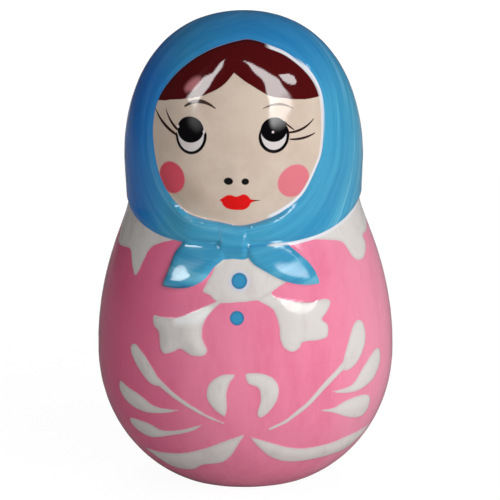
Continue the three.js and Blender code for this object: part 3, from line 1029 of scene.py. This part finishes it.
# The face: flat skin colour with round cheeks, large eyes that look up, and fine brush lines
SKIN_STROKES = (120, 120)
painted_face, (place, in_lips, in_hair, from_edge), gives = paint_group(
    "painted face", {"Place": ORIGIN, "Lips": 0.0, "Hair": 0.0, "Edge": 0.0}, ["Colour"])
mottle = use(brush_streaks, Place=stretched(painted_face, *SKIN_STROKES))["Value"]
eye_white = times(ovals(place, EYE_HOLES), fade(axes(place)["Y"], *EYELID))
locks = layered(HAIR_RED, [
    # painted reflection in the hair
    (ovals(place, [HAIR_REFLECTION], 0.9), HAIR_SHEEN),
    # painted shade, darker hair under the scarf's edge
    (fade(from_edge, 0.8, 0.1, 0.75), HAIR_EDGE_SHADE),
])
skin = layered(SKIN_DEEP, [
    (fade(mottle, 0.3, 0.65), SKIN),
    (times(ovals(place, [CHIN_SHADE], 3.0), 0.55), SKIN_SHADE),
    # painted shade, the cheek on the doll's right in a deeper colour
    (ovals(place, CHEEKS[:1], 0.3), CHEEK_SHADED),
    (ovals(place, CHEEKS[1:], 0.3), CHEEK),
    (eye_white, EYE_WHITE),
    (ovals(place, IRISES), EYE_BLACK),
])
for (x, z, wide, tall), (foot, top, turn) in zip(EYE_HOLES, EYE_LINES):
    ring = use(eye_line, Place=place, Centre=(x, z, 0), Size=(wide, tall, 1), Foot_Width=foot,
               Top_Width=top, Turn=turn)["Mask"]
    skin = blend(ring, skin, EYE_BLACK)
skin = layered(skin, [
    (ovals(place, GLINTS), GLINT),
    (strokes_of(place, LASHES), LINE_BROWN),
    (strokes_of(place, [BROW_LEFT]), BROW_BROWN),
    (strokes_of(place, [BROW_RIGHT]), BROW_GREY),
    (ovals(place, NOSTRILS), EYE_BLACK),
    (strokes_of(place, [MOUTH_CORNER]), LIP_DARK),
    (use(paint_edge, Inside=in_lips, Waver=0.2)["Mask"], LIP_RED),
    (use(paint_edge, Inside=in_hair, Waver=0.3)["Mask"], locks),
])
put(skin, gives["Colour"])

SCARF = linear(70, 158, 195)
SCARF_PALE = linear(114, 187, 214)
SCARF_DEEP = linear(52, 140, 184)
# Painted shade: a deeper blue towards the scarf's crown
SCARF_CROWN_SHADE = linear(8, 106, 184)
# Painted shade: a deeper blue round the doll's right side
SCARF_SIDE_SHADE = linear(0, 106, 214)
SCARF_SHADE = linear(14, 62, 118)
# A pale white for lines along the scarf's edges: bare ground showing, with a painted highlight
GESSO_AND_GLINT = linear(224, 227, 233)
# The brighter white of a painted highlight
WHITE_HIGHLIGHT = linear(240, 240, 239)
# The scarf's strokes run along its edge: how fine they are away from it, and across and up
LAY_FINE = 0.34
STROKE_FINE = 20.0

head_paint, tree, shader = lacquered("head_paint")
place = attribute(tree, "drawing", "Vector")
across = axes(place)["X"]
height = axes(place)["Y"]
white, side, up, edge, hem, around = (
    attribute(tree, name) for name in ("white", "side", "up", "scarf", "hem", "face"))
cloth = use(dress, White=white, Side=side)
face = use(painted_face, Place=place, Lips=attribute(tree, "lips"), Hair=attribute(tree, "hair"),
           Edge=around)
face_mask = use(paint_edge, Inside=around, Waver=0.1)["Mask"]
scarf_mask = use(paint_edge, Inside=edge, Waver=0.1)["Mask"]
spot = axes(spot_on(tree))
lay = times(attribute(tree, "lay"), LAY_FINE)
lay = vector_of(lay, times(spot["X"], STROKE_FINE), times(spot["Z"], STROKE_FINE))
streaks = use(brush_streaks, Place=lay)
blue = layered(SCARF_DEEP, [
    (fade(streaks["Value"], 0.3, 0.55), SCARF),
    (fade(streaks["Value"], 0.52, 0.66, 0.7), SCARF_PALE),
    # painted shade, deeper blue up towards the crown
    (fade(up, 112, 139, 0.55), SCARF_CROWN_SHADE),
    # painted shade, deeper blue round the doll's right side
    (fade(side, -0.5, -1.0, 0.85), SCARF_SIDE_SHADE),
])
# Painted shadow: a darker blue beside the left tail
shade = times(where((edge, 0.9, 0.1), (across, -13, -17), (height, 76, 73)), scarf_mask, 0.6)
# Painted highlights, partly bare ground: a white line under the hem and one beside the face, on the doll's
# left only
hem_line = where((hem, -0.95, -0.65), (hem, 0.15, -0.05), (across, 7, 9.5), (across, 56, 50))
hem_line = times(hem_line, scaled(fade(across, 34, 15), 0.4, 0.6))
face_line = where((around, -0.7, -0.4), (around, 0.25, 0), (across, 17, 22), (height, 104, 119))
caps = [(x, z, wide - BUTTON_RIM, tall - BUTTON_RIM) for x, z, wide, tall in BUTTONS]
colour = layered(cloth["Colour"], [
    # painted highlight on the left bell
    (times(ovals(place, [BELL_HIGHLIGHT], 1.3), fade(white, 0.0, 0.4)), WHITE_HIGHLIGHT),
    (ovals(place, [BUTTON_GROUND], 0.35), BUTTON_HALO),
    (ovals(place, BUTTONS, 0.2), BUTTON_EDGE),
    (ovals(place, caps, 0.4), BUTTON_BLUE),
    (face_mask, face["Colour"]),
    (scarf_mask, blue),
    (shade, SCARF_SHADE),
    (hem_line, GESSO_AND_GLINT),
    (face_line, GESSO_AND_GLINT),
])
put(colour, shader.inputs["Base Color"])
bumped(shader, streaks["Height"], BRUSH_RELIEF)

# The scarf laps over the face's edge, and is gathered under the chin towards the knot
LAP = 0.45
LAP_WIDE = 1.8
SWELL_WIDE = 8
GATHERED = 0.35
GATHER_RISE = 6
HEM_EDGE = 1.7
# The gathering ends this far to either side and up, and fades over the second length
CHIN_MIDDLE = -2.5
CHIN_REACH = (22, 11)
CHIN_HEIGHT = (92, 7)
CREASE_DEPTH = 0.18
CREASE_WIDTH = 0.8
# Each tail's tip curls out: how fast, and from what height down
LEFT_CURL = (0.0165, 74)
RIGHT_CURL = (0.015, 72.5)
TAIL_RISE = 1.05
TAIL_ROUND = 1.5


def curl(up, speed, height):
    return speed * np.maximum(height - up, 0) ** 2 + 0.5 * smooth((up - 71) / 6)


def dress_head(piece, doll):
    """Carves the scarf on a piece and keeps how far each vertex lies inside each colour."""
    across, up, angle = drawing_place(piece, doll)
    front = on_front(angle, 1, 0)
    face = inside(FACE, across, up, 70)
    hem = hem_inside(across, up, angle)
    knot = on_front(angle, np.minimum(inside(KNOT, across, up), -face))
    tails = on_front(angle, np.maximum(inside(TAIL_LEFT, across, up), inside(TAIL_RIGHT, across, up)))
    white = on_front(angle, white_paint(across, up))
    cloth = np.minimum(hem, -face)
    behind = smooth((np.abs(angle) - 1.5) / 1.2)
    keep_drawing(piece, across, up, angle, white)
    for name, values in (
        ("scarf", np.maximum(cloth, np.maximum(knot, tails))),
        ("hem", np.clip(cloth, -FAR, FAR)),
        ("face", face),
        ("lay", face * (1 - behind) + (up - 145) * behind),
        ("hair", on_front(angle, inside(HAIR, across, up))),
        ("lips", on_front(angle, inside(LIPS, across, up))),
    ):
        keep(piece, name, values)
    lapped = LAP * smooth(0.1 - face / LAP_WIDE) + (1 - LAP) * smooth(-face / SWELL_WIDE)
    chin = smooth((CHIN_REACH[0] - np.abs(across - CHIN_MIDDLE)) / CHIN_REACH[1])
    chin = chin * smooth((CHIN_HEIGHT[0] - up) / CHIN_HEIGHT[1]) * front
    roll = HEM_ROLL * (GATHERED + (1 - GATHERED) * np.clip(hem / GATHER_RISE, 0, 1)) * chin
    height = (SCARF_THICKNESS * lapped + roll * smooth(0.1 - face)) * smooth(hem / HEM_EDGE + 0.1)
    height = np.maximum(height, KNOT_RISE * smooth(knot / KNOT_ROUND) * smooth(0.1 - face / 1.9))
    creases = np.maximum(*(along([(a, z, 0) for a, z in crease], across, up) for crease in CREASES))
    height = height - CREASE_DEPTH * np.exp(-(creases / CREASE_WIDTH) ** 2) * front
    flare = TAIL_RISE + np.where(across < -1, curl(up, *LEFT_CURL), curl(up, *RIGHT_CURL))
    puffed = softened(piece, flare * dome(tails / TAIL_ROUND), 5) * (1 - smooth((hem + 0.9) / 2.4))
    height = softened(piece, smooth_max(height, puffed, 0.3), 2)
    height = np.maximum(height, white_height(piece, white, across, up))
    for (x, z), (wide, tall), rise in FACE_RISE:
        off = ((across - x) / wide) ** 2 + ((up - z) / tall) ** 2
        height += rise * np.exp(-off * RISE_FALL) * smooth(face / 3) * front
    raise_paint(piece, doll, height)


for doll, inner in zip(dolls, dolls[1:]):
    node = f"{doll.name}_top"
    top = turned(f"{doll.name}_painted_top", doll, cap_section(doll, inner), head_paint)
    dress_head(top, doll)
    dress_piece(top, node, node)


# The innermost doll
# The smallest doll of the nest doesn't open: it is turned solid from one piece of lime wood.

SMALL_FOOT_BARE = 0.4
SMALL_FOOT_PAINTED = 0.1
smallest = dolls[-1]
outline = wood_outline(smallest, OUTLINE_STEP[-1])
section = [(0, 0, 0)] + foot_edge(smallest.foot, SMALL_FOOT_BARE, SMALL_FOOT_PAINTED)
section += [(r, z, 1) for r, z in outline[1:]]
whole = turned("innermost_painted_doll", smallest, section, head_paint)
dress_head(whole, smallest)
dress_piece(whole, "innermost", "innermost_doll")


# The studio
# A table top that the camera sees as white. Two windows are mirrored in the lacquer and light nothing
# else; three soft panels give the plain light, and the lacquer doesn't mirror them.

LAMP_AIM = 0.1
LOW_PANES = 0.62


def toward(azimuth, elevation):
    """The direction at an azimuth from the doll's front and an elevation, both in degrees."""
    a, e = math.radians(azimuth), math.radians(elevation)
    return Vector((math.sin(a) * math.cos(e), -math.cos(a) * math.cos(e), math.sin(e)))


def softbox(name, foot, head, width, distance, brightness):
    """A lamp that reaches between two directions from the doll's head."""
    low, high = toward(*foot) * distance, toward(*head) * distance
    lamp = bpy.data.lights.new(name, "AREA")
    lamp.shape = "RECTANGLE"
    lamp.size = width
    lamp.size_y = (high - low).length
    lamp.energy = brightness * math.pi * lamp.size * lamp.size_y
    holder = placed(name, lamp)
    back = ((low + high) / 2).normalized()
    along_it = (high - low).normalized()
    turned_so = Matrix((along_it.cross(back), along_it, back)).transposed().to_4x4()
    holder.matrix_world = Matrix.Translation((low + high) / 2 + Vector((0, 0, LAMP_AIM))) @ turned_so
    return holder


def edge_curve(height, stops):
    """Where an opening's edge stands across the lamp, at each height up it."""
    new = add("ShaderNodeFloatCurve", 1.0, height)
    points = new.mapping.curves[0].points
    for _ in stops[2:]:
        points.new(0.5, 0.5)
    for point, stop in zip(points, stops):
        point.location = stop
        point.handle_type = "VECTOR"
    new.mapping.update()
    return new.outputs[0]


def window(holder, openings):
    """Curtains before a tall lamp: each opening has its left and right edge, brightness and softness."""
    holder.visible_diffuse = False
    lamp = holder.data
    lamp.use_nodes = True
    tree = lamp.node_tree
    spot = axes(tree.nodes.new("ShaderNodeNewGeometry").outputs["Parametric"])
    lights = []
    for left, right, strength, softness in openings:
        from_left = minus(spot["X"], edge_curve(spot["Y"], left))
        from_right = minus(edge_curve(spot["Y"], right), spot["X"])
        haze = scaled(fade(spot["Y"], 0.4, 0.2), 0.07, softness)
        within = fade(maths("MINIMUM", from_left, from_right), times(haze, -1), haze)
        lights.append(times(within, strength))
    low = scaled(fade(spot["Y"], 0.26, 0.38), 1 - LOW_PANES, LOW_PANES)
    low = times(low, fade(spot["Y"], 0.01, 0.24))
    put(times(together(lights), low), tree.nodes["Emission"].inputs["Strength"])


# Each edge is given as height up the lamp and place across it, both as shares of the lamp
RIGHT_WINDOW = [
    ([(0, 0.4), (0.1, 0.34), (0.26, 0.31), (0.33, 0.34), (0.38, 0.43), (0.52, 0.46), (0.74, 0.43), (1, 0.43)],
     [(0, 0.55), (0.1, 0.71), (0.2, 0.77), (0.29, 0.75), (0.48, 0.67), (0.61, 0.59), (0.86, 0.48), (1, 0.43)],
     1.0, 0.012),
    ([(0, 1), (0.37, 1), (0.395, 0.94), (0.45, 0.75), (0.52, 0.71), (0.56, 0.7), (1, 0.7)],
     [(0, 0.5), (0.37, 0.7), (0.39, 0.92), (0.415, 0.98), (0.494, 0.94), (0.555, 0.7), (0.6, 0.6), (1, 0.6)],
     1.0, 0.012),
]
LEFT_WINDOW = [
    ([(0, 0.9), (0.26, 0.75), (0.3, 0.24), (0.375, 0.32), (0.47, 0.39), (0.57, 0.43), (0.68, 0.55), (1, 0.5)],
     [(0, 0.2), (0.26, 0.3), (0.3, 0.54), (0.375, 0.58), (0.487, 0.66), (0.6, 0.66), (0.81, 0.61),
      (0.95, 0.5), (1, 0.45)],
     1.0, 0.012),
    ([(0, 0.5), (0.3, 0.4), (1, 0.4)], [(0, 0.95), (0.25, 0.95), (0.45, 0.3), (1, 0.2)], 0.16, 0.12),
]
window(softbox("right_window", (42, 14), (14, 78), 1.2, 1.2, 14), RIGHT_WINDOW)
window(softbox("left_window", (-56, 12), (-46, 74), 0.84, 1.2, 14), LEFT_WINDOW)
# Each panel: its azimuth, width and brightness
PANELS = {"right_panel": (42, 1.7, 3.75), "left_panel": (-55, 0.8, 1.1), "back_panel": (180, 0.6, 6)}
PANEL_FOOT = -6
PANEL_HEAD = 44
PANEL_DISTANCE = 1.6
for name, (azimuth, width, brightness) in PANELS.items():
    panel = softbox(name, (azimuth, PANEL_FOOT), (azimuth, PANEL_HEAD), width, PANEL_DISTANCE, brightness)
    panel.visible_glossy = False

SKY = 0.06
SKY_SEEN = 0.97
world = bpy.data.worlds.new("studio")
bpy.context.scene.world = world
world.use_nodes = True
tree = world.node_tree
sky = tree.nodes["Background"].inputs
sky["Color"].default_value = (1, 1, 1, 1)
direct = tree.nodes.new("ShaderNodeLightPath").outputs["Is Camera Ray"]
put(scaled(direct, SKY_SEEN - SKY, SKY), sky["Strength"])

FLOOR_REACH = 6
FLOOR_GLOW = 0.85
FLOOR_COLOUR = (0.56, 0.56, 0.56, 1)
FLOOR_WHITE = 1.12
MIRRORED_SHARE = 0.7
MIRRORED_GLOW = 0.12
pale, tree, shader = finish("pale_table", 0.6)
shader.inputs["Base Color"].default_value = FLOOR_COLOUR
glow = tree.nodes.new("ShaderNodeEmission")
path = tree.nodes.new("ShaderNodeLightPath").outputs
mirrored = times(path["Is Glossy Ray"], MIRRORED_SHARE)
seen = maths("MAXIMUM", path["Is Camera Ray"], path["Is Transmission Ray"])
strength = scaled(seen, FLOOR_WHITE - MIRRORED_GLOW, MIRRORED_GLOW)
put(strength, glow.inputs["Strength"])
seen = maths("MAXIMUM", times(seen, FLOOR_GLOW), mirrored)
mixed = add("ShaderNodeMixShader", seen, shader.outputs[0], glow.outputs[0])
put(mixed.outputs[0], tree.nodes["Material Output"].inputs["Surface"])
mesh = bpy.data.meshes.new("table_top")
mesh.from_pydata([(FLOOR_REACH * x, FLOOR_REACH * y, 0) for x, y in ((-1, -1), (1, -1), (1, 1), (-1, 1))],
                 [], [(0, 1, 2, 3)])
mesh.materials.append(pale)
table_top = placed("table_top", mesh)

CAMERA_AZIMUTH = 1.7
CAMERA_ELEVATION = 12
CAMERA_DISTANCE = 0.8
CAMERA_ROLL = math.radians(-0.55)
AIM_HEIGHT = 0.07
LENS = 191.6
SENSOR = 36
SHIFT_X = 0.011
SHIFT_Y = -0.014
camera_data = bpy.data.cameras.new("camera")
camera_data.lens = LENS
camera_data.sensor_width = SENSOR
camera_data.shift_x = SHIFT_X
camera_data.shift_y = SHIFT_Y
camera = placed("camera", camera_data)
camera.location = toward(CAMERA_AZIMUTH, CAMERA_ELEVATION) * CAMERA_DISTANCE + Vector((0, 0, AIM_HEIGHT))
a, e = math.radians(CAMERA_AZIMUTH), math.radians(CAMERA_ELEVATION)
level_view = Matrix.Rotation(a, 3, "Z") @ Matrix.Rotation(math.pi / 2 - e, 3, "X")
camera.rotation_euler = (level_view @ Matrix.Rotation(CAMERA_ROLL, 3, "Z")).to_euler()
bpy.context.scene.camera = camera
bpy.context.scene.view_settings.view_transform = "Standard"
